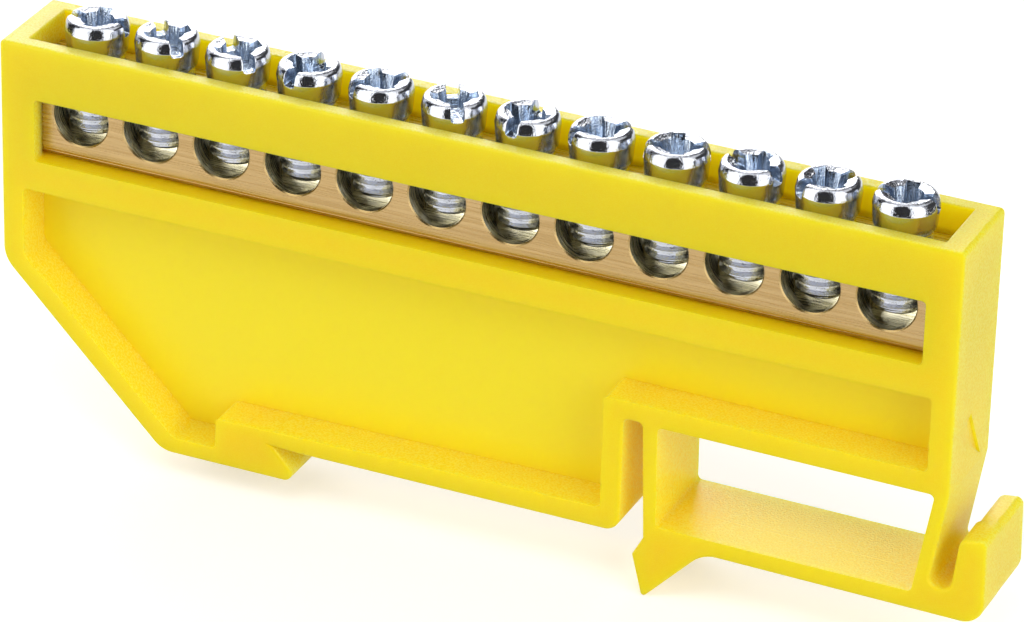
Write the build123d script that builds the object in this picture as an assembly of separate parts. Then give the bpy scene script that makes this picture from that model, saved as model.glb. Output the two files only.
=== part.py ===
from build123d import *
import os

# Earth terminal bar: a cross-drilled brass bar with clamp screws, carried by a moulded holder that
# clips onto a 35 mm mounting rail. All sizes are in millimetres.
# X runs along the bar, Y through the width with the front at -Y, and Z up towards the screw heads.
# The origin lies on the rail seat, midway between the rail's edges and midway through the width.

# Brass bar
bar_length = 84.3
bar_width = 6.4
bar_height = 8.5
bar_edge_radius = 0.8
bar_offset = 0.4
bar_seat_z = 22.65
wire_ways = 12
bar_end_waste = 2.7
wire_bore = 5.3
bore_chamfer = 0.12
bar_side_clearance = 0.05
bar_end_clearance = 0.1

# Clamp screws, M5
crest_diameter = 4.9
thread_clearance = 0.05
screw_length = 7.4
screw_tip_chamfer = 0.5
tip_above_bore_floor = 0.85
tapped_below_bore = 0.1
head_height = 3.0
head_seat_diameter = 5.2
head_diameter = 5.7
head_belly_low = 0.45
head_belly_high = 1.3
head_shoulder_diameter = 5.4
head_shoulder_height = 2.6
head_face_diameter = 4.9
slot_width = 1.1
slot_depth = 1.3
cross_length = 4.3
cross_width = 1.1
cross_depth = 1.7
cross_taper = 0.4
# Direction of each slot in degrees from the bar, as the screws happened to stop
slot_directions = (5, -45, -43, 77, 45, -60, 83, 38, 21, -19, 48, 5)

# Holder, above the rail
side_wall = 1.55
left_end_wall = 2.05
left_end_lean = 0.12
right_end_wall = 2.22
wall_above_bar = 2.5
rim_height = 5.1
window_lap = 1.0
window_shift = 0.13
window_corner = 0.4
waist_height = 2.85
web_thickness = 1.9
frame_rim = 1.9
end_rim = 2.03
rim_edge_radius = 0.45
mouth_edge_radius = 0.2
outline_edge_radius = 0.3
chin_height = 12.55
chin_radius = 3.0
pocket_corner = 0.4

# Rail hook
rail_width = 35.0
rail_play = 0.3
hook_depth = 3.0
hook_floor = 1.6
hook_heel_radius = 2.5
hook_tip_radius = 0.8
notch_mouth = 2.65
notch_relief = 0.15
heel_to_hook_block = 5.35
seat_wall = 1.55
seat_wall_rise = 0.5
seat_corner_radius = 1.4

# Sprung foot
body_right = 15.45
body_wall = 1.8
foot_roof_z = 11.05
beam_thickness = 1.8
slit_corner = 0.5
arm_head_x = 17.2
arm_head_thickness = 1.45
arm_thickness = 1.15
nose_reach = 0.95
nose_z = -1.8
nose_tip_x = 17.77
nose_tip_z = -5.88
nose_radius = 0.3
foot_top_z = 1.42
foot_bottom_z = -0.2
foot_sag = 0.35
foot_window_sag = 0.15
foot_heel_x = 23.2
foot_heel_radius = 3.0
foot_window_corner = 0.45
return_arm_head = 1.21
return_arm_foot = 1.39
return_arm_lean = 1.4
release_gap = 2.0
release_gap_z = 2.1
release_gap_radius = 0.95
tab_lean = 0.6
tab_top_z = 7.2
tab_top_rise = 0.3
tab_thickness = 3.13
tab_top_thickness = 2.98
tab_radii = (0.8, 0.6, 2.0)
mould_step_top = 0.25
mould_step_side = 0.1

# Gate mark on the right end face, as Y and Z
gate_mark = ((-0.5, 16.9), (-2.6, 15.5), (2.6, 11.6))
gate_mark_depth = 0.3

# Places that follow from the sizes
slot_width_y = bar_width + 2 * bar_side_clearance
width = slot_width_y + 2 * side_wall
bar_top_z = bar_seat_z + bar_height
bore_z = bar_seat_z + bar_height / 2
top_z = bar_top_z + wall_above_bar
window_top_z = top_z - rim_height
pocket_top_z = bar_seat_z - waist_height
slot_left = bar_offset - bar_length / 2 - bar_end_clearance
slot_right = bar_offset + bar_length / 2 + bar_end_clearance
left_x = slot_left - left_end_wall
right_x = slot_right + right_end_wall
beam_top_z = foot_roof_z + beam_thickness
rail_edge = (rail_width + rail_play) / 2
return_arm_foot_x = right_x - return_arm_lean
parting_y = -web_thickness / 2
parting_tolerance = web_thickness / 100
wire_pitch = (bar_length - bar_end_waste) / wire_ways
hook_heel_x = left_x + chin_height + hook_depth
tab_right_x = return_arm_foot_x + release_gap + tab_thickness
tab_top_right_x = return_arm_foot_x + release_gap + tab_top_thickness
screw_places = [bar_offset + wire_pitch * (i - (wire_ways - 1) / 2) for i in range(wire_ways)]


def prism(outline, y_low, y_high):
    """The solid of an XZ outline between two depths."""
    return extrude(Plane.XZ.offset(-y_high) * make_face(outline), y_high - y_low)


def block(x_low, x_high, y_low, y_high, z_low, z_high):
    """A plain block between its limits."""
    size = (x_high - x_low, y_high - y_low, z_high - z_low)
    centre = ((x_low + x_high) / 2, (y_low + y_high) / 2, (z_low + z_high) / 2)
    return Pos(*centre) * Box(*size)


def side_profile(step_side, step_top):
    """The holder's closed outline seen from the front. The steps make the release tab smaller."""
    corners = [
        ((left_x - left_end_lean, top_z), rim_edge_radius),
        ((right_x, top_z), rim_edge_radius),
        ((right_x, foot_roof_z), 0),
        ((return_arm_foot_x, release_gap_z), release_gap_radius),
        ((return_arm_foot_x + release_gap, release_gap_z), release_gap_radius),
        ((return_arm_foot_x + release_gap + tab_lean + step_side, tab_top_z - step_top), tab_radii[0]),
        ((tab_top_right_x - step_side, tab_top_z + tab_top_rise - step_top), tab_radii[1]),
        ((tab_right_x, foot_bottom_z - foot_sag), tab_radii[2]),
        ((foot_heel_x, foot_bottom_z), foot_heel_radius),
        ((nose_tip_x, nose_tip_z), nose_radius),
        ((rail_edge - nose_reach, nose_z), nose_radius),
        ((rail_edge, 0), nose_radius),
        ((arm_head_x, foot_roof_z), slit_corner),
        ((body_right, foot_roof_z), slit_corner),
        ((body_right, 0), seat_corner_radius),
        ((notch_mouth - rail_edge, 0), 0),
        ((-rail_edge, notch_relief), 0),
        ((notch_relief + hook_depth - rail_edge, -hook_depth), hook_tip_radius),
        ((hook_heel_x, -hook_depth), hook_heel_radius),
        ((left_x, chin_height), chin_radius),
    ]
    points, radii = zip(*corners)
    return FilletPolyline(*points, radius=radii, close=True)


def foot_window():
    """The opening between the sprung arm, the foot and the return arm."""
    corners = [
        (arm_head_x + arm_head_thickness, foot_roof_z),
        (rail_edge + arm_thickness, foot_top_z),
        (return_arm_foot_x - return_arm_foot, foot_top_z - foot_window_sag),
        (right_x - return_arm_head, foot_roof_z - foot_window_sag),
    ]
    outline = FilletPolyline(*corners, radius=foot_window_corner, close=True)
    return prism(outline, -width / 2, width / 2)


def pocket_outline():
    """The recess on each side of the web, bounded by the frame's rim."""
    inner_left = left_x + end_rim
    inner_right = right_x - end_rim
    wall = body_right - body_wall
    floor_z = hook_floor - hook_depth
    block_x = hook_heel_x + heel_to_hook_block
    diagonal_rim = frame_rim * 2 ** 0.5
    corners = [
        ((inner_left, pocket_top_z), pocket_corner),
        ((inner_right, pocket_top_z), pocket_corner),
        ((inner_right, beam_top_z), pocket_corner),
        ((wall, beam_top_z), pocket_corner),
        ((wall, seat_wall + seat_wall_rise), pocket_corner),
        ((block_x, seat_wall), pocket_corner),
        ((block_x, floor_z), pocket_corner),
        ((left_x + chin_height + diagonal_rim - floor_z, floor_z), hook_heel_radius - hook_floor),
        ((inner_left, chin_height + diagonal_rim - end_rim), chin_radius - frame_rim),
    ]
    points, radii = zip(*corners)
    return FilletPolyline(*points, radius=radii, close=True)


def soft_outline(half, y):
    """One half of the moulding with the edges of its outer face rounded."""
    rim = half.edges().filter_by(lambda e: abs(e.bounding_box().min.Y - y) < parting_tolerance
                                 and abs(e.bounding_box().max.Y - y) < parting_tolerance)
    return fillet(rim, outline_edge_radius)


def make_holder():
    """The moulding: bar carrier, window, web in its rim, rail hook and sprung foot."""
    front = prism(side_profile(0, 0), -width / 2, parting_y)
    back = prism(side_profile(mould_step_side, mould_step_top), parting_y, width / 2)
    front = soft_outline(front, -width / 2)
    back = soft_outline(back, width / 2)
    body = front + back
    body -= foot_window()
    body -= prism(pocket_outline(), -width / 2, -web_thickness / 2)
    body -= prism(pocket_outline(), web_thickness / 2, width / 2)
    body -= block(slot_left, slot_right, -slot_width_y / 2, slot_width_y / 2, bar_seat_z, 2 * top_z)
    window = Rectangle(slot_right - slot_left - 2 * window_lap, window_top_z - bar_seat_z)
    window = fillet(window.vertices(), window_corner)
    window_z = (window_top_z + bar_seat_z) / 2
    window_x = (slot_left + slot_right) / 2 + window_shift
    body -= Pos(window_x, width, window_z) * extrude(Plane.XZ * window, 2 * width)
    mark = make_face(Polyline(*gate_mark, close=True))
    body -= Pos(right_x, 0, 0) * extrude(Plane.YZ * mark, -gate_mark_depth)
    mouth = body.faces().sort_by(Axis.Z)[-1].inner_wires()[0].edges()
    return fillet(mouth, mouth_edge_radius)


def make_bar():
    """The bar, cross-drilled for the wires and drilled from above for the screws."""
    bar = Pos(bar_offset, 0, bore_z) * Box(bar_length, bar_width, bar_height)
    bar = fillet(bar.edges().filter_by(Axis.X), bar_edge_radius)
    along_y = Rot(90, 0, 0)
    for x in screw_places:
        bar -= Pos(x, 0, bore_z) * along_y * Cylinder(wire_bore / 2, 2 * bar_width)
    mouths = bar.edges().filter_by(GeomType.CIRCLE).filter_by(lambda e: abs(e.radius - wire_bore / 2) < 1e-3)
    bar = chamfer(mouths, bore_chamfer)
    tapped = Cylinder(crest_diameter / 2 + thread_clearance, 2 * bar_height,
                      align=(Align.CENTER, Align.CENTER, Align.MIN))
    for x in screw_places:
        bar -= Pos(x, 0, bore_z - wire_bore / 2 - tapped_below_bore) * tapped
    return bar


def cross_wing():
    """One tapered wing of the cross recess, with its mouth at the height 0."""
    mouth = Rectangle(cross_length, cross_width)
    floor = Pos(0, 0, -cross_depth) * Rectangle(cross_length * cross_taper, cross_width * cross_taper)
    return loft([mouth, floor])


def make_screw(direction):
    """A clamp screw standing on its tip, with its slot turned to the direction."""
    shank = crest_diameter / 2
    head_z = screw_length
    outline = Polyline(
        (0, 0), (shank - screw_tip_chamfer, 0), (shank, screw_tip_chamfer), (shank, head_z),
        (head_seat_diameter / 2, head_z), (head_diameter / 2, head_z + head_belly_low),
        (head_diameter / 2, head_z + head_belly_high),
    )
    shoulder = (head_shoulder_diameter / 2, head_z + head_shoulder_height)
    side = TangentArc(outline @ 1, shoulder, tangent=(0, 1))
    crown = Polyline(shoulder, (head_face_diameter / 2, head_z + head_height), (0, head_z + head_height), (0, 0))
    screw = revolve(Plane.XZ * make_face(outline + side + crown), Axis.Z)
    slot = Box(2 * head_diameter, slot_width, 2 * slot_depth)
    recess = slot + cross_wing() + Rot(0, 0, 90) * cross_wing()
    return screw - Pos(0, 0, head_z + head_height) * Rot(0, 0, direction) * recess


os.makedirs("parts", exist_ok=True)
nodes = {"holder": make_holder(), "brass_bar": make_bar()}
tip_z = bore_z - wire_bore / 2 + tip_above_bore_floor
for number, (x, direction) in enumerate(zip(screw_places, slot_directions), start=1):
    nodes[f"screw_{number:02d}"] = Pos(x, 0, tip_z) * make_screw(direction)
for name, solid in nodes.items():
    solid.label = name
    export_step(solid, f"parts/{name}.step")
    print(name, "volume", round(solid.volume, 1))
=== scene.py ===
# %% [markdown]
# Earth terminal bar on a rail-mounting holder.
# The solids come ready made from the CAD model, in metres and in one frame: X along the bar, Y through
# the width with the front at -Y, and Z up towards the screw heads. This lesson loads them and leaves
# them where they are. It then adds what a CAD model doesn't hold: rolled threads, struck screw heads,
# drawn brass, moulded plastic, and the light of a small product studio.

# %% Load the frame
import bpy, bmesh, math
from mathutils import Matrix, Vector


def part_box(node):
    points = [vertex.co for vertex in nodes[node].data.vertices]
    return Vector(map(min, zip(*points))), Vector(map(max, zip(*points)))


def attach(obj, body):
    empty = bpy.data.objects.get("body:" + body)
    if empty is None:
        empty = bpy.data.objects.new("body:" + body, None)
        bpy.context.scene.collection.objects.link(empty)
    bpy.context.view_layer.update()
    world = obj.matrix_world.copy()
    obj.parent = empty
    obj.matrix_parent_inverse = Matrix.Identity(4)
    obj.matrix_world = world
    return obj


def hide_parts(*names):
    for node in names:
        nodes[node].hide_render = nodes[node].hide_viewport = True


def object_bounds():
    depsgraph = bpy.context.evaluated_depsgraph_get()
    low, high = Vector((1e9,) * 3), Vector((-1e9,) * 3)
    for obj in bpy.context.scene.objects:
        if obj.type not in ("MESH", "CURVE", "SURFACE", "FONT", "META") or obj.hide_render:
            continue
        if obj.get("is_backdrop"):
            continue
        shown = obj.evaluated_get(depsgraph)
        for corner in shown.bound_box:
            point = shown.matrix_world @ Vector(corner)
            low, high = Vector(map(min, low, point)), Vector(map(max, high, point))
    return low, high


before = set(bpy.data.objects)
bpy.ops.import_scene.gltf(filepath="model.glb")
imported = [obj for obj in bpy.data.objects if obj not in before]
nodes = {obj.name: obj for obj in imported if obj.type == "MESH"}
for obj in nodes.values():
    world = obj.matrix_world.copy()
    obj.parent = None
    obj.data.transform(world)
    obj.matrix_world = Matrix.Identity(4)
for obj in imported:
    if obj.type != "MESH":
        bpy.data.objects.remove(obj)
cad_low, cad_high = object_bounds()
print("CAD box in mm:", [round(1000 * v, 2) for v in (*cad_low, *cad_high)])

# %% [markdown]
# The camera comes first, because every later choice is judged through it. The picture was taken with a
# long lens from the front right and from above, and the camera leans a little. A viewpoint is easiest
# to read as an azimuth, an elevation, a roll and a distance from a point that it looks at, so the
# camera's axes are worked out from those.

# %% Camera
MM = 0.001
AZIMUTH, ELEVATION, ROLL = math.radians(23.390), math.radians(27.667), math.radians(1.739)
DISTANCE = 522.402 * MM
FOCAL_PIXELS, PICTURE_WIDTH = 6051.99, 1024
AIM_RIGHT, AIM_UP, FRONT_FACE_Y = 5.024 * MM, 15.689 * MM, -4.8 * MM


def place_camera():
    """A camera at the photograph's angle, with its picture's centre on the aim."""
    back = Vector((math.sin(AZIMUTH) * math.cos(ELEVATION), -math.cos(AZIMUTH) * math.cos(ELEVATION),
                   math.sin(ELEVATION)))
    right = (-back).cross(Vector((0, 0, 1))).normalized()
    up = right.cross(-back)
    right, up = (right * math.cos(ROLL) + up * math.sin(ROLL), up * math.cos(ROLL) - right * math.sin(ROLL))
    eye = back * DISTANCE + right * AIM_RIGHT + up * AIM_UP + Vector((0, FRONT_FACE_Y, 0))
    lens = bpy.data.cameras.new("camera")
    lens.sensor_fit, lens.sensor_width = "HORIZONTAL", 36
    lens.lens = FOCAL_PIXELS * lens.sensor_width / PICTURE_WIDTH
    lens.clip_start, lens.clip_end = 0.01, 20
    camera = bpy.data.objects.new("camera", lens)
    bpy.context.scene.collection.objects.link(camera)
    turn = Matrix((right, up, back)).transposed()
    camera.matrix_world = Matrix.Translation(eye) @ turn.to_4x4()
    bpy.context.scene.camera = camera
    return eye


eye = place_camera()
print("camera at mm:", [round(v / MM, 1) for v in eye])

# %% [markdown]
# A finish is a tree of shader nodes, and its sums are easier to read as Python. One small class wraps a
# node's output, so that the signs + - * make Math nodes. Any other node comes from one method, which
# sets the node's own settings first and then its sockets. Colours are mixed by Mix nodes.

# %% Shader shorthand
class Wire:
    """One output of a node. Sums of wires and numbers add Math nodes."""

    def __init__(self, finish, socket):
        self.finish, self.socket = finish, socket

    def math(self, operation, *values):
        inputs = {number: value for number, value in enumerate(values)}
        return self.finish.node("Math", {"operation": operation}, inputs)

    def __add__(self, other):
        return self.math("ADD", self, other)

    def __sub__(self, other):
        return self.math("SUBTRACT", self, other)

    def __rsub__(self, other):
        return self.math("SUBTRACT", other, self)

    def __mul__(self, other):
        return self.math("MULTIPLY", self, other)

    def __abs__(self):
        return self.math("ABSOLUTE", self)

    __radd__, __rmul__ = __add__, __mul__

    def rise(self, low, high):
        """0 below low and 1 above high, with a smooth ramp between."""
        settings = {"interpolation_type": "SMOOTHSTEP", "clamp": True}
        return self.finish.node("MapRange", settings, {0: self, 1: low, 2: high})

    def fall(self, low, high):
        return 1 - self.rise(low, high)


class Finish:
    """A material with its Principled shader and one way to add nodes."""

    def __init__(self, name, **constants):
        self.material = bpy.data.materials.new(name)
        self.material.use_nodes = True
        self.tree = self.material.node_tree
        self.shader = self.tree.nodes["Principled BSDF"]
        for socket, value in constants.items():
            self.shader.inputs[socket.replace("_", " ")].default_value = value

    def node(self, kind, settings=None, inputs=None, output=0):
        made = self.tree.nodes.new("ShaderNode" + kind)
        for name, value in (settings or {}).items():
            setattr(made, name, value)
        for name, value in (inputs or {}).items():
            self.plug(made.inputs[name], value)
        return Wire(self, made.outputs[output])

    def plug(self, socket, value):
        if isinstance(value, Wire):
            self.tree.links.new(value.socket, socket)
        elif socket.type == "RGBA" and len(value) == 3:
            socket.default_value = (*value, 1)
        else:
            socket.default_value = value

    def wear(self, **links):
        """Links what varies over the surface to the shader."""
        for socket, value in links.items():
            self.plug(self.shader.inputs[socket.replace("_", " ")], value)

    def place(self):
        """Object coordinates, and their x, y and z in metres."""
        where = self.node("TexCoord", output="Object")
        parts = self.node("SeparateXYZ", None, {0: where}).socket.node.outputs
        return where, [Wire(self, part) for part in parts]

    def facing(self):
        """The surface normal's x, y and z."""
        normal = self.node("NewGeometry", output="Normal")
        parts = self.node("SeparateXYZ", None, {0: normal}).socket.node.outputs
        return [Wire(self, part) for part in parts]

    def noise(self, where, stretch, detail=2.0, rough=0.5):
        """Noise whose cells per metre along x, y and z are the stretch."""
        spread = self.node("Mapping", None, {"Vector": where, "Scale": stretch})
        return self.node("TexNoise", None,
                         {"Vector": spread, "Scale": 1.0, "Detail": detail, "Roughness": rough})

    def mix(self, share, first, second):
        """A colour from the first to the second as the share goes from 0 to 1."""
        made = self.tree.nodes.new("ShaderNodeMix")
        made.data_type = "RGBA"
        for number, value in ((0, share), (6, first), (7, second)):
            self.plug(made.inputs[number], value)
        return Wire(self, made.outputs[2])

    def bump(self, height, depth, strength=1.0, under=None):
        """A bumped normal from a height of 0 to 1 that stands for the depth in metres."""
        inputs = {"Strength": strength, "Distance": depth, "Height": height}
        if under is not None:
            inputs["Normal"] = under
        return self.node("Bump", None, inputs)


def put_finish(piece, finish):
    """Gives the whole piece one material through its slots."""
    if not piece.material_slots:
        piece.data.materials.append(finish.material)
    for slot in piece.material_slots:
        slot.material = finish.material


# %% [markdown]
# The holder is moulded from yellow plastic, a polyamide that lets light through. Thin walls glow from
# behind and deep corners turn orange, because light that travels in yellow plastic loses its blue and
# then its green. Subsurface scattering does most of that, and painted light helps where it falls short:
# the sill under the bar has painted shade, a little more orange, the web has painted light from behind,
# a little greener, and the walls of the shaft and of the clip's gaps have a painted glow, a faint light
# of their own, as if it came through from behind.
# The mould was spark-eroded where it faces up and sideways: those faces have a fine grain that
# sparkles, which the broad front faces lack, and a paler colour there is painted sheen. The two mould
# halves meet in a thin line.

# %% Yellow plastic
BAR_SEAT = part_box("brass_bar")[0][2]
PARTING_Y = -0.95 * MM
SHAFT_WALL, SHAFT_FLOOR = 3.9 * MM, 31.0 * MM
CLIP_LEFT, CLIP_RIGHT, CLIP_TOP = 8 * MM, 43 * MM, 17 * MM
PASSED_LIGHT = (0.18, 0.125, 0.0)


def yellow_plastic():
    finish = Finish("yellow_plastic", Base_Color=(0.95, 0.69, 0.006, 1), Roughness=0.4, IOR=1.45,
                    Subsurface_Weight=1.0, Subsurface_Scale=3.4 * MM, Subsurface_Radius=(0.85, 0.9, 0.1),
                    Specular_IOR_Level=0.3, Emission_Strength=1.0)
    where, (x, y, z) = finish.place()
    nx, ny, nz = finish.facing()
    flow = finish.noise(where, (45, 45, 45), 2)
    grain = finish.noise(where, (5200, 5200, 5200), 3, 0.6)
    speck = finish.noise(where, (9000, 9000, 9000), 1)
    eroded = abs(ny).fall(0.3, 0.8)
    even = finish.mix(flow.rise(0.35, 0.7), (0.965, 0.655, 0.004), (0.975, 0.675, 0.006))
    # Real grain, with a paler colour on the eroded faces that is painted sheen.
    grain_and_sheen = finish.mix(grain.rise(0.4, 0.62), (0.93, 0.68, 0.01), (0.97, 0.80, 0.12))
    # Painted shade: the sill's top under the bar is coloured more orange, as its shade would make it.
    sill_shade = nz.rise(0.6, 0.9) * abs(z - BAR_SEAT).fall(0.5 * MM, 1.5 * MM)
    # Painted light: the thin web is coloured paler and greener, as light coming through it from behind
    # would.
    web_backlight = abs(y).fall(2.2 * MM, 3.0 * MM) * abs(ny).rise(0.6, 0.9)
    toned = finish.mix(web_backlight, finish.mix(sill_shade, even, (0.995, 0.66, 0.002)), (0.985, 0.765, 0.02))
    speckled = finish.mix(speck.rise(0.3, 0.8) * 0.4, toned, (0.99, 0.75, 0.03))
    colour = finish.mix(eroded * (1 - sill_shade) * 0.8, speckled, grain_and_sheen)
    broad = finish.noise(where, (1500, 1500, 1500), 2)
    coarse = finish.bump(grain * eroded, 0.06 * MM, 0.9)
    skin = finish.bump(broad + 0.4 * speck, 0.006 * MM, 0.7, coarse)
    seam = abs(y - PARTING_Y).fall(0.02 * MM, 0.07 * MM) * eroded
    lined = finish.bump(seam, 0.04 * MM, 0.8, skin)
    shaft = abs(ny).rise(0.7, 0.9) * abs(y).fall(SHAFT_WALL, SHAFT_WALL + 0.3 * MM)
    shaft = shaft * z.rise(SHAFT_FLOOR, SHAFT_FLOOR + 0.6 * MM)
    gaps = abs(nx).rise(0.7, 0.9) * x.rise(CLIP_LEFT, CLIP_LEFT + MM) * x.fall(CLIP_RIGHT, CLIP_RIGHT + MM)
    gaps = gaps * z.fall(CLIP_TOP, CLIP_TOP + MM)
    glow = finish.mix(shaft + 0.35 * gaps, (0.0, 0.0, 0.0), PASSED_LIGHT)
    finish.wear(Base_Color=colour, Normal=lined, Roughness=0.4 - 0.12 * abs(nz) + 0.06 * abs(nx),
                Emission_Color=glow)
    return finish


plastic = yellow_plastic()
put_finish(nodes["holder"], plastic)
print("holder faces:", len(nodes["holder"].data.polygons))

# %% [markdown]
# The bar is cut from drawn brass. Drawing leaves long fine lines along X, and the drill leaves rings in
# each wire bore. Both are the same kind of noise, stretched along the line's direction, and the bore's
# rings only show where the surface faces away from the front. The drawn skin has browned a little, while
# the drilled walls are fresh metal, so they are paler and yellower, apart from the lip of each bore,
# which is painted darker. Low on the bar, where its flat runs into the rounding, the die has left two
# thin ridges.

# %% Brass
RIDGE_RISE, RIDGE_GAP = 0.52 * MM, 0.24 * MM


def drawn_brass():
    finish = Finish("drawn_brass", Metallic=1.0, Base_Color=(0.62, 0.43, 0.20, 1), Roughness=0.34)
    where, (x, y, z) = finish.place()
    nx, ny, nz = finish.facing()
    front = abs(ny).rise(0.55, 0.9)
    draw = finish.noise(where, (110, 5200, 5200), 4, 0.6)
    rings = finish.noise(where, (150, 4200, 150), 4, 0.7)
    marks = draw * front + rings * (1 - front)
    drawn = finish.mix(draw.rise(0.3, 0.75), (0.44, 0.29, 0.12), (0.57, 0.40, 0.19))
    drilled = finish.mix(rings.rise(0.35, 0.7), (0.40, 0.36, 0.19), (0.86, 0.80, 0.58))
    lip = abs(ny).rise(0.5, 0.6) * abs(ny).fall(0.78, 0.88)
    bored = finish.mix(lip, drilled, (0.40, 0.30, 0.13))
    ridge = BAR_SEAT + RIDGE_RISE
    ridges = (abs(z - ridge).fall(0.03 * MM, 0.09 * MM)
              + abs(z - ridge + RIDGE_GAP).fall(0.03 * MM, 0.09 * MM))
    lined = finish.bump(ridges, 0.05 * MM, 0.8)
    finish.wear(Base_Color=finish.mix(front, bored, drawn), Roughness=0.16 + 0.24 * marks,
                Normal=finish.bump(marks, 0.02 * MM, 0.9, lined))
    return finish


brass = drawn_brass()
put_finish(nodes["brass_bar"], brass)

# %% [markdown]
# The clamp screws are zinc plated and clear passivated, so they are bright with a cold blue tint. The
# head is struck, which leaves upright scores on the walls of its recess and a slightly pitted skin. The
# recess looks darker and bluer than the outside, and its mirror image of the studio alone doesn't give
# that, so its darker blue colour is painted shade, darkest on its floors. All twelve screws share one
# finish, so the distance from the nearest screw's axis is found by wrapping x at the pitch of the wire
# ways.

# %% Zinc plate
HALF_PITCH, HEAD_RADIUS = 3.4 * MM, 2.85 * MM
SCREW_ONE_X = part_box("screw_01")[0][0] + HEAD_RADIUS
SHANK_TOP, PUNCH_FLOOR, SLOT_FLOOR = 32.2 * MM, 33.2 * MM, 34.3 * MM


def zinc_plate():
    finish = Finish("zinc_plate", Metallic=0.96, Base_Color=(0.55, 0.575, 0.64, 1), Roughness=0.1)
    where, (x, y, z) = finish.place()
    nx, ny, nz = finish.facing()
    across = finish.node("Math", {"operation": "WRAP"}, {0: x - SCREW_ONE_X, 1: HALF_PITCH, 2: -HALF_PITCH})
    reach = finish.node("Math", {"operation": "SQRT"}, {0: across * across + y * y})
    punched = reach.fall(2.2 * MM, 2.45 * MM) * z.rise(PUNCH_FLOOR, PUNCH_FLOOR + 0.2 * MM)
    punched = punched * abs(nz).fall(0.5, 0.85)
    scores = finish.noise(where, (4200, 4200, 200), 3, 0.6)
    pits = finish.noise(where, (5200, 5200, 5200), 2, 0.6)
    dull = finish.noise(where, (900, 900, 900), 2)
    dents = finish.noise(where, (2600, 2600, 2600), 3, 0.6)
    crown = nz.rise(0.7, 0.95)
    struck = finish.bump(dull, 0.03 * MM, 0.5)
    dented = finish.bump(dents * (0.1 + crown), 0.09 * MM, 0.8, struck)
    rolled = finish.noise(where, (800, 800, 2400), 3, 0.6) * z.fall(SHANK_TOP, SHANK_TOP + 0.2 * MM)
    scored = finish.bump(scores * punched + 2.0 * rolled, 0.05 * MM, 0.9, dented)
    deep = z.fall(SLOT_FLOOR, SLOT_FLOOR + 0.2 * MM)
    middle, mouths = reach.fall(2.3 * MM, 2.5 * MM), reach.fall(2.72 * MM, 2.8 * MM) * deep
    above = z.rise(SHANK_TOP + 0.4 * MM, SHANK_TOP + 0.6 * MM)
    # Painted shade: the recess walls and floors are coloured darker and bluer than the outside of the head.
    recess_shade = (middle + mouths - middle * mouths) * above * (1 - crown * (1 - deep))
    bright = finish.mix(dull.rise(0.3, 0.7), (0.54, 0.565, 0.62), (0.57, 0.585, 0.64))
    shaded_scores = finish.mix(scores.rise(0.35, 0.65), (0.30, 0.37, 0.48), (0.56, 0.62, 0.70))
    floor_shade = finish.mix(dents.rise(0.4, 0.6), (0.14, 0.17, 0.24), (0.5, 0.55, 0.6))
    recess_shade_colour = finish.mix(crown * deep, shaded_scores, floor_shade)
    finish.wear(Base_Color=finish.mix(recess_shade, bright, recess_shade_colour), Roughness=0.04 + 0.06 * dull,
                Normal=finish.bump(pits, 0.026 * MM, 0.7, scored))
    return finish


zinc = zinc_plate()

# %% [markdown]
# Each clamp screw is an M5 with a pitch of 0.8 mm. In the workshop its thread is rolled: one profile
# turned about the axis while it climbs. The spin operator does just that when each step also gets a
# small rise, so the thread is one profile of a single pitch, spun through all its turns, with the turns
# then joined where they meet.

# %% Thread of a clamp screw
PITCH, CREST, ROOT, SHANK = 0.8 * MM, 2.42 * MM, 2.04 * MM, 7.4 * MM
TURN_STEPS = 48


def spin_profile(points, steps):
    """A closed shell from a profile of (radius, height) points, turned once about Z."""
    shell = bmesh.new()
    chain = [shell.verts.new((radius, 0, height)) for radius, height in points]
    edges = [shell.edges.new(pair) for pair in zip(chain, chain[1:])]
    bmesh.ops.spin(shell, geom=chain + edges, cent=(0, 0, 0), axis=(0, 0, 1), angle=2 * math.pi,
                   steps=steps, use_merge=True)
    bmesh.ops.remove_doubles(shell, verts=shell.verts, dist=1e-7)
    bmesh.ops.recalc_face_normals(shell, faces=shell.faces)
    return shell


def keep(shell, name):
    """Makes a finished bmesh an object in the scene."""
    mesh = bpy.data.meshes.new(name)
    shell.to_mesh(mesh)
    shell.free()
    piece = bpy.data.objects.new(name, mesh)
    bpy.context.scene.collection.objects.link(piece)
    return piece


def cut(piece, tool, operation):
    """Applies a Boolean of the tool to the piece and removes the tool."""
    step = piece.modifiers.new("cut", "BOOLEAN")
    step.object, step.operation, step.solver = tool, operation, "EXACT"
    apply_modifiers(piece)
    bpy.data.objects.remove(tool)


def apply_modifiers(piece):
    """Turns the piece's modifiers into plain mesh."""
    bpy.context.view_layer.update()
    made = bpy.data.meshes.new_from_object(piece.evaluated_get(bpy.context.evaluated_depsgraph_get()))
    piece.modifiers.clear()
    piece.data = made


def rolled_thread():
    """A thread that starts below the shank's tip and ends above its seat, for the envelope to trim."""
    turns = 12
    shell = bmesh.new()
    profile = [(ROOT, 0.0), (ROOT, 0.10), (CREST, 0.32), (CREST, 0.48), (ROOT, 0.70), (ROOT, 0.8)]
    chain = [shell.verts.new((radius, 0, (height - 1.2) * MM)) for radius, height in profile]
    edges = [shell.edges.new(pair) for pair in zip(chain, chain[1:])]
    bmesh.ops.spin(shell, geom=chain + edges, cent=(0, 0, 0), axis=(0, 0, 1), angle=2 * math.pi * turns,
                   dvec=(0, 0, PITCH / TURN_STEPS), steps=turns * TURN_STEPS)
    bmesh.ops.remove_doubles(shell, verts=shell.verts, dist=1e-6)
    bmesh.ops.holes_fill(shell, edges=[e for e in shell.edges if e.is_boundary], sides=0)
    bmesh.ops.recalc_face_normals(shell, faces=shell.faces)
    return keep(shell, "thread")


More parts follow.
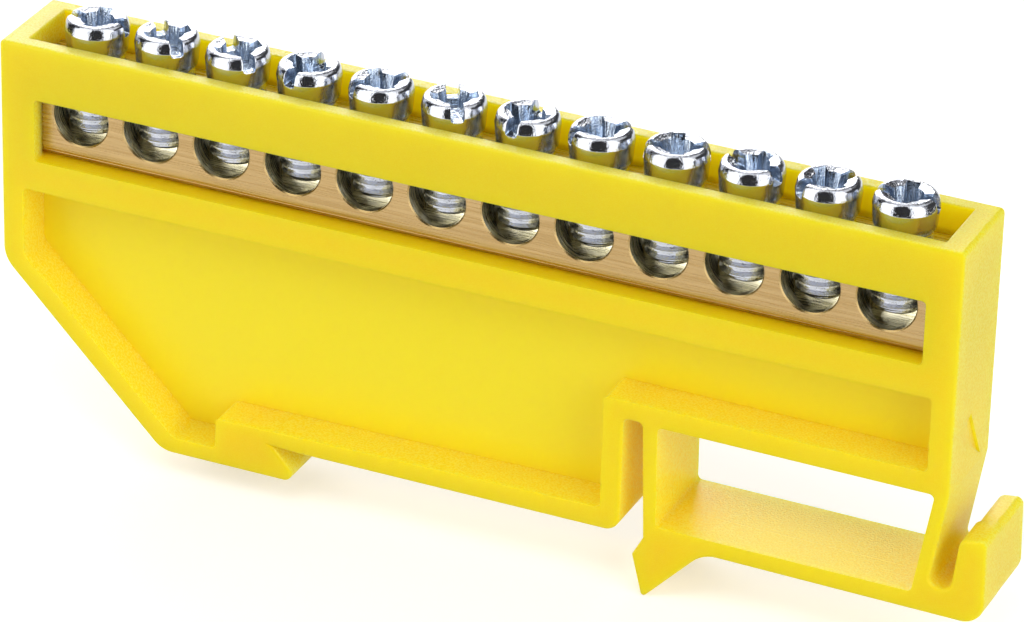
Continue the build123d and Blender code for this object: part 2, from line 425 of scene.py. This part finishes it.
def shank_envelope():
    """What the blank's shank leaves for the thread: a cylinder with a chamfered tip."""
    points = [(0, 0), (1.85 * MM, 0), (CREST, 0.6 * MM), (CREST, SHANK + 0.3 * MM), (0, SHANK + 0.3 * MM)]
    return keep(spin_profile(points, 96), "envelope")


shank = rolled_thread()
print("thread faces:", len(shank.data.polygons), "loose edges:",
      sum(1 for e in shank.data.edges if e.is_loose))
cut(shank, shank_envelope(), "INTERSECT")
print("shank faces:", len(shank.data.polygons))

# %% [markdown]
# The head is a barrel: it swells from its seat and widens by a few degrees up to a soft edge at two
# thirds of its height, leans in by a dozen degrees from there, rounds over at the shoulder and ends in a
# small crown. Both leans matter more than their size suggests: a polished side shows the studio upside
# down, and the edge is where the picture changes from the yellow wall to the white cards. The punch
# leaves the crown dished inside a narrow rim. A slot runs right across the head, and a cross with a wide,
# tapered middle is struck into it, so it takes either driver. A spun profile gives the barrel, and
# Booleans take out the slot, both wings of the cross and its middle. A narrow bevel then breaks the
# struck edges, which is what catches the light.

# %% Head of a clamp screw
HEAD = 3.0 * MM
CONE_FOOT, CONE_TOP = 2.0, 2.62


def barrel():
    """The head's profile from its seat to its crown, in mm, as (radius, height)."""
    points = [(0.0, 0.0), (2.55, 0.0), (2.63, 0.05), (2.69, 0.17), (2.73, 0.35), (2.76, 0.7), (2.785, 1.05),
              (2.81, 1.35), (2.835, 1.65), (2.861, CONE_FOOT - 0.05), (2.862, CONE_FOOT - 0.02)]
    steps = 20
    for step in range(steps):
        lean = math.radians(11 + 5 * (step + 0.5) / steps)
        rise = (CONE_TOP - CONE_FOOT) / steps
        points.append((points[-1][0] - rise * math.tan(lean), points[-1][1] + rise))
    edge_radius, edge_height = points[-1]
    first = math.radians(16)
    corner = (HEAD / MM - edge_height) / (1 - math.sin(first))
    for step in range(1, 10):
        turn = first + (math.pi / 2 - first) * step / 9
        points.append((edge_radius - corner * (math.cos(first) - math.cos(turn)),
                       edge_height + corner * (math.sin(turn) - math.sin(first))))
    return points + [(2.08, 2.97), (1.95, 2.91), (1.6, 2.82), (1.2, 2.75), (0.0, 2.7)]


def wedge(length, breadth, depth, taper, turn, floor_round=0.0):
    """The slot or a wing of the cross: a bar from the crown down, whose floor is narrower by the taper."""
    block = bmesh.new()
    bmesh.ops.create_cube(block, size=1)
    for corner in block.verts:
        share = taper if corner.co.z < 0 else 1.0 + (1 - taper) * 0.2 / depth
        corner.co = (corner.co.x * length * share, corner.co.y * breadth * share,
                     0.2 if corner.co.z > 0 else -depth)
    if floor_round:
        floor_edges = [edge for edge in block.edges if all(v.co.z < 0 for v in edge.verts)
                       and abs(edge.verts[0].co.x - edge.verts[1].co.x) > 1]
        bmesh.ops.bevel(block, geom=floor_edges, offset=floor_round, segments=4, profile=0.5, affect="EDGES",
                        material=-1)
    bmesh.ops.rotate(block, verts=block.verts, cent=(0, 0, 0), matrix=Matrix.Rotation(turn, 3, "Z"))
    bmesh.ops.scale(block, verts=block.verts, vec=(MM, MM, MM))
    bmesh.ops.translate(block, verts=block.verts, vec=(0, 0, HEAD))
    return keep(block, "wedge")


def funnel(mouth, floor, depth):
    """The wide middle of the cross, round at its mouth and narrower at its floor."""
    over = 0.3
    points = [(0, -depth), (floor, -depth), (mouth, 0), (mouth + (mouth - floor) * over / depth, over),
              (0, over)]
    return keep(spin_profile([(r * MM, HEAD + h * MM) for r, h in points], 32), "funnel")


def soften(piece, width, angle, steps=2):
    """Breaks the sharp edges by a narrow bevel."""
    step = piece.modifiers.new("break", "BEVEL")
    step.width, step.segments, step.angle_limit = width, steps, math.radians(angle)
    step.limit_method, step.use_clamp_overlap = "ANGLE", True
    apply_modifiers(piece)


head = keep(spin_profile([(r * MM, h * MM) for r, h in barrel()], 96), "head")
cut(head, wedge(8.0, 1.15, 1.35, 1.0, 0, floor_round=0.25), "DIFFERENCE")
for turn in (0, math.pi / 2):
    cut(head, wedge(4.1, 1.2, 1.9, 0.88, turn), "DIFFERENCE")
cut(head, funnel(mouth=1.5, floor=1.22, depth=1.8), "DIFFERENCE")
soften(head, 0.05 * MM, 35)
print("head faces:", len(head.data.polygons))

# %% [markdown]
# The head and its shank become one mesh, which is then copied to the twelve places. A copy's place and
# the direction its slot happened to stop at go into its mesh, so that each object stays at the origin.
# Each screw rides on its own body, because it travels when a wire is clamped.

# %% Twelve clamp screws
SLOT_DIRECTIONS = (5, -45, -43, 77, 45, -60, 83, 38, 21, -19, 48, 5)
RISES = (-0.12, 0, 0, -0.06, -0.08, -0.07, -0.08, -0.05, -0.08, -0.10, -0.11, 0.12)
LEANS = (0.3, 0, 0, 0, 0, 0, 0.3, 0, 0.5, 0, 0.6, 0.8)
GRIP = 4.9 * MM


def one_screw():
    whole = bmesh.new()
    whole.from_mesh(head.data)
    bmesh.ops.translate(whole, verts=whole.verts, vec=(0, 0, SHANK))
    whole.from_mesh(shank.data)
    for part in (head, shank):
        bpy.data.objects.remove(part)
    return whole


def smooth_by_angle(piece, angle):
    """Smooth shading that stays sharp over the angle."""
    piece.data.shade_smooth()
    piece.data.set_sharp_from_angle(angle=math.radians(angle))


pattern = one_screw()
for number, (direction, rise, lean) in enumerate(zip(SLOT_DIRECTIONS, RISES, LEANS), start=1):
    node = f"screw_{number:02d}"
    low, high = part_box(node)
    shell = pattern.copy()
    bmesh.ops.rotate(shell, verts=shell.verts, cent=(0, 0, 0),
                     matrix=Matrix.Rotation(math.radians(direction), 3, "Z"))
    bmesh.ops.rotate(shell, verts=shell.verts, cent=(0, 0, GRIP),
                     matrix=Matrix.Rotation(math.radians(lean), 3, "Y"))
    bmesh.ops.translate(shell, verts=shell.verts,
                        vec=((low[0] + high[0]) / 2, (low[1] + high[1]) / 2, low[2] + rise * MM))
    screw = keep(shell, f"clamp_{node}")
    smooth_by_angle(screw, 32)
    put_finish(screw, zinc)
    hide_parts(node)
    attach(screw, f"{node}_body")
pattern.free()
print("screw triangles each:", sum(len(p.vertices) - 2 for p in screw.data.polygons))

# %% [markdown]
# The studio has a white sweep, a large soft light high behind, which shines through the thin walls, a
# small one high in front, which reaches down into the shaft, and a soft box on each side. A lamp is
# placed by its azimuth from the front, its elevation and its distance, and its power follows from its
# radiance. What the metal mirrors is a matter of its own and comes after the floor, so reflections leave
# the lamps out.

# %% Studio lamps
MIDDLE = Vector((0, 0, 15 * MM))


def towards(azimuth, elevation):
    """The direction at an azimuth from the front, towards +X, and an elevation, in degrees."""
    turn, lift = math.radians(azimuth), math.radians(elevation)
    return Vector((math.sin(turn) * math.cos(lift), -math.cos(turn) * math.cos(lift), math.sin(lift)))


def soft_box(name, azimuth, elevation, distance, size, radiance):
    """A rectangular lamp that looks at the part. Neither the camera nor a mirror sees it."""
    lamp = bpy.data.lights.new(name, "AREA")
    lamp.shape, lamp.size, lamp.size_y = "RECTANGLE", *size
    lamp.energy = 4 * size[0] * size[1] * radiance
    box = bpy.data.objects.new(name, lamp)
    bpy.context.scene.collection.objects.link(box)
    way = towards(azimuth, elevation)
    box.location = MIDDLE + distance * way
    box.rotation_euler = way.to_track_quat("Z", "Y").to_euler()
    box.visible_camera = box.visible_glossy = False


soft_box("back_box", -157, 40, 0.9, (0.9, 0.6), 1.35)
soft_box("top_box", 5, 60, 0.8, (0.4, 0.3), 2.2)
soft_box("left_box", -47, 18, 0.8, (0.62, 0.75), 1.2)
soft_box("right_box", 62, 18, 0.8, (0.58, 0.75), 2.15)

# %% [markdown]
# The floor is a plain white sheet at the part's lowest point. Its colour is that of white paper, and a
# little light of its own, which only the camera and reflections see, lifts it to white without washing
# out the shadow. The world is white in the same way, and a plain grey for everything else.

# %% Floor and sweep
FLOOR_GAP = 0.02 * MM


def floor():
    sheet = bmesh.new()
    bmesh.ops.create_grid(sheet, x_segments=1, y_segments=1, size=3)
    bmesh.ops.translate(sheet, verts=sheet.verts, vec=(0, 0, cad_low[2] - FLOOR_GAP))
    piece = keep(sheet, "floor")
    finish = Finish("floor_white", Base_Color=(0.8, 0.8, 0.8, 1), Roughness=0.9)
    finish.shader.inputs["Specular IOR Level"].default_value = 0.0
    path = finish.node("LightPath").socket.node.outputs
    seen = Wire(finish, path["Is Camera Ray"]) + Wire(finish, path["Is Glossy Ray"])
    glow = finish.mix(seen, (0, 0, 0), (0.46, 0.46, 0.46))
    finish.plug(finish.shader.inputs["Emission Color"], glow)
    finish.shader.inputs["Emission Strength"].default_value = 1.0
    put_finish(piece, finish)
    piece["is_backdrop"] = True


def sweep():
    sky = bpy.data.worlds.new("studio")
    bpy.context.scene.world = sky
    sky.use_nodes = True
    tree = sky.node_tree
    path = tree.nodes.new("ShaderNodeLightPath")
    seen = path.outputs["Is Camera Ray"]
    for ray in ("Is Glossy Ray", "Is Transmission Ray"):
        either = tree.nodes.new("ShaderNodeMath")
        either.operation = "MAXIMUM"
        tree.links.new(seen, either.inputs[0])
        tree.links.new(path.outputs[ray], either.inputs[1])
        seen = either.outputs[0]
    mix = tree.nodes.new("ShaderNodeMix")
    mix.data_type = "RGBA"
    mix.inputs[6].default_value = (0.34, 0.34, 0.34, 1)
    mix.inputs[7].default_value = (1, 1, 1, 1)
    tree.links.new(seen, mix.inputs[0])
    tree.links.new(mix.outputs[2], tree.nodes["Background"].inputs["Color"])


floor()
sweep()
bpy.context.scene.view_settings.view_transform = "Standard"

# %% [markdown]
# Polished metal in an all white room looks like paper: it needs something dark to show. Small metal
# goods are therefore photographed in a tent of flat cards, some white and some dark. Here five cards
# stand on the floor, each from one corner of the tent to the next: a dark and a white one on the left, a
# dark one in front, where the camera looks in, and a white and a lower dark one on the right. Two hang
# behind, a tall dark one and a bright white one. The top faces mirror the white one to the camera, so
# their grain sparkles. Only reflections see the cards, so none of them hides or shades the part.

# %% Tent of cards
def card(name, start, end, low, high, glow):
    """A flat upright card between two corners in plan, in mm, that only mirrors see."""
    sheet = bmesh.new()
    foot = [sheet.verts.new((x * MM, y * MM, low * MM)) for x, y in (start, end)]
    edge = sheet.edges.new(foot)
    raised = bmesh.ops.extrude_edge_only(sheet, edges=[edge])["geom"]
    bmesh.ops.translate(sheet, verts=[part for part in raised if isinstance(part, bmesh.types.BMVert)],
                        vec=(0, 0, (high - low) * MM))
    piece = keep(sheet, name)
    finish = Finish(name, Base_Color=(0.015, 0.015, 0.018, 1), Roughness=1.0,
                    Emission_Color=(glow, glow, glow, 1), Emission_Strength=1.0, Specular_IOR_Level=0.0)
    put_finish(piece, finish)
    piece.visible_camera = piece.visible_diffuse = piece.visible_shadow = piece.visible_transmission = False
    piece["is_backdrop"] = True


FLOOR = cad_low[2] / MM
CARDS = {"left_dark": ((-200, 30), (-183, -81), FLOOR, 800, 0.0),
         "left_white": ((-183, -81), (-40, -179), FLOOR, 800, 2.1),
         "front_dark": ((-40, -179), (204, -208), FLOOR, 800, 0.0),
         "right_white": ((204, -208), (250, -10), FLOOR, 800, 2.1),
         "right_dark": ((250, -10), (148, 220), FLOOR, 230, 0.03),
         "back_dark": ((148, 220), (-60, 290), 60, 1100, 0.03),
         "back_white": ((-260, 150), (-60, 290), 60, 420, 4.4)}
for name, (start, end, low, high, glow) in CARDS.items():
    card(name, start, end, low, high, glow)
print("cards:", len(CARDS))

# %% [markdown]
# The dressed part must keep the CAD model's size, so the CAD box is printed at the start and how far
# the dressed box has grown beyond it at the end.

# %% Sizes and finish
low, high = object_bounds()
print("grown by mm:", [round(v / MM, 3) for v in (*(cad_low - low), *(high - cad_high))])
